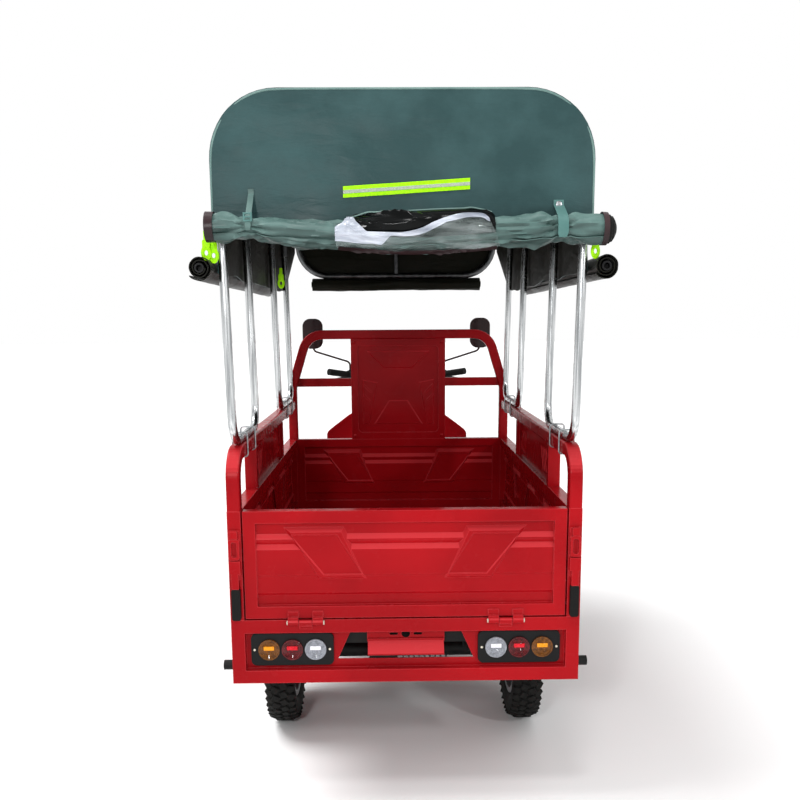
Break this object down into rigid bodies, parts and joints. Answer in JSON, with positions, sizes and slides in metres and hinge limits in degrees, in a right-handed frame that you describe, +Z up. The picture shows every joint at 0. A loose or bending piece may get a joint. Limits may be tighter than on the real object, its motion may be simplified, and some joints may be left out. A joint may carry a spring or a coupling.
{
  "type": "three-wheeled cargo tricycle",
  "caption": "Red cargo tricycle with a pressed steel drop-gate bed, guard rails and a green fabric canopy on tube bows; it steers, rolls and its tailgate drops.",
  "frame": {"origin": "on the ground below the middle of the vehicle's overall box", "axes": "+X to the vehicle's right, +Y forward, +Z up"},
  "size_m": [1.1584, 2.9813, 2.015],
  "materials": {
    "red_paint": "gloss enamel",
    "black_paint": "satin chassis paint",
    "wheel_paint": "silver wheel enamel",
    "spring_steel": "oiled spring steel",
    "motor_alloy": "cast",
    "zinc_steel": "zinc plated",
    "galvanised_tube": "drawn tube, bright",
    "black_plastic": "moulded",
    "black_rubber": "moulded",
    "tyre_rubber": "moulded",
    "amber_lens": "ribbed lens",
    "red_lens": "ribbed lens",
    "clear_lens": "ribbed lens",
    "headlamp_lens": "clear lens in a chrome rim",
    "mirror_silver": "silvered glass",
    "seat_vinyl": "grained vinyl",
    "green_canvas": "coated weave",
    "black_canvas": "coated weave"
  },
  "bodies": {
    "chassis": {"main_frame": "black_paint", "rear_axle": "black_paint", "leaf_springs": "spring_steel", "drive_motor": "motor_alloy", "battery_box": "black_plastic", "cargo_floor": "red_paint", "side_wall_left": "red_paint", "side_wall_right": "red_paint", "front_wall": "red_paint", "guard_rail_left": "red_paint", "guard_rail_right": "red_paint", "rail_infill_left": "red_paint", "rail_infill_right": "red_paint", "headboard_hoop": "red_paint", "headboard_panel": "red_paint", "tail_frame": "red_paint", "lashing_pegs": "zinc_steel", "tail_lamp_plates": "black_plastic", "lens_amber": "amber_lens", "lens_red": "red_lens", "lens_clear": "clear_lens", "plate_bracket": "red_paint", "tailgate_latches": "red_paint", "latch_grips": "black_rubber", "footboard": "black_paint", "seat_box": "red_paint", "seat_cushion": "seat_vinyl", "backrest_pad": "seat_vinyl", "leg_shield": "red_paint", "headlamp": "headlamp_lens", "brake_pedal": "black_rubber", "canopy_bows_left": "galvanised_tube", "canopy_bows_right": "galvanised_tube", "canopy_frame": "galvanised_tube", "bow_clamps": "zinc_steel", "canopy_roof": "green_canvas", "canopy_rear_panel": "green_canvas", "canopy_front_panel": "green_canvas", "rear_curtain_roll": "green_canvas", "side_curtain_rolls": "black_canvas", "front_curtain_roll": "black_canvas"},
    "tailgate": {"tailgate": "red_paint"},
    "steering": {"front_fork": "black_paint", "handlebar": "black_paint", "hand_grips": "black_rubber", "hand_controls": "black_plastic", "mirrors": "black_plastic", "mirror_glass": "mirror_silver", "front_fender": "red_paint"},
    "front_wheel": {"front_tyre": "tyre_rubber", "front_rim": "wheel_paint"},
    "rear_wheel_left": {"rear_left_tyre": "tyre_rubber", "rear_left_rim": "wheel_paint"},
    "rear_wheel_right": {"rear_right_tyre": "tyre_rubber", "rear_right_rim": "wheel_paint"}
  },
  "joints": [
    {"name": "steering_turn", "type": "hinge", "parent": "chassis", "child": "steering", "pos_m": [0, 1.2187, 0.24022], "axis": [0, -0.4067, 0.9135], "range_deg": [-40, 40]},
    {"name": "front_wheel_spin", "type": "hinge", "parent": "steering", "child": "front_wheel", "pos_m": [0, 1.24065, 0.25], "axis": [1, 0, 0], "continuous": true},
    {"name": "rear_wheel_left_spin", "type": "hinge", "parent": "chassis", "child": "rear_wheel_left", "pos_m": [-0.42, -0.78935, 0.25], "axis": [1, 0, 0], "continuous": true},
    {"name": "rear_wheel_right_spin", "type": "hinge", "parent": "chassis", "child": "rear_wheel_right", "pos_m": [0.42, -0.78935, 0.25], "axis": [1, 0, 0], "continuous": true},
    {"name": "tailgate_drop", "type": "hinge", "parent": "chassis", "child": "tailgate", "pos_m": [0, -1.40935, 0.571], "axis": [1, 0, 0], "range_deg": [0, 175]}
  ]
}
